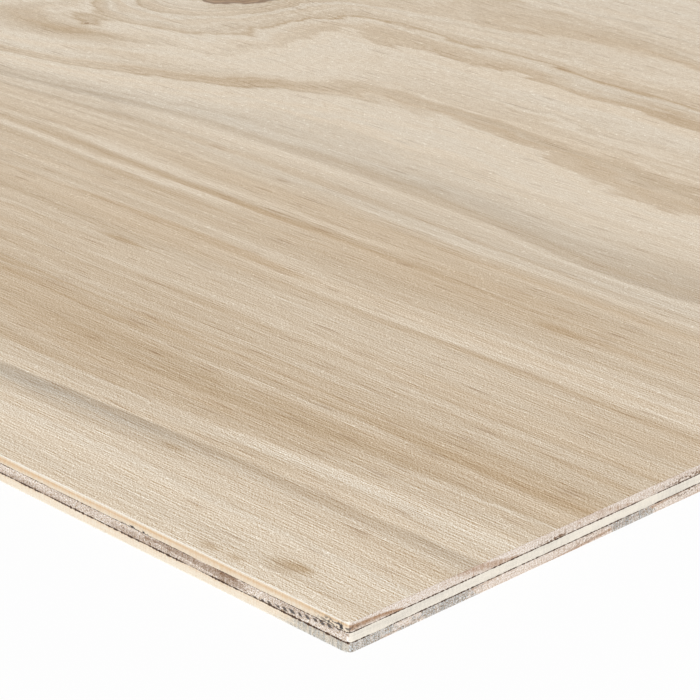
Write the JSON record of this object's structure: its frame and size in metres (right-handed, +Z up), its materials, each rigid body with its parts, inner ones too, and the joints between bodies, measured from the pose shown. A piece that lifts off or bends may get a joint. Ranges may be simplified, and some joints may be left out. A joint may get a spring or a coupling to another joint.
{
  "type": "plywood sheet",
  "caption": "Flat cross-banded sheet of sanded pine plywood: face, core and back veneers, with sawn square edges and slightly dubbed corners.",
  "frame": {"origin": "middle of the underside of the sheet", "axes": "+X along the grain of the face, +Y across that grain, +Z up out of the face"},
  "size_m": [2.4384, 1.2192, 0.0087],
  "materials": {
    "face_pine": "sanded, unfinished, matt",
    "core_pine": "sawn, unsanded, matt",
    "back_pine": "sanded, unfinished, matt"
  },
  "bodies": {
    "root": {"face_veneer": "face_pine", "core_veneer": "core_pine", "back_veneer": "back_pine"}
  },
  "joints": []
}
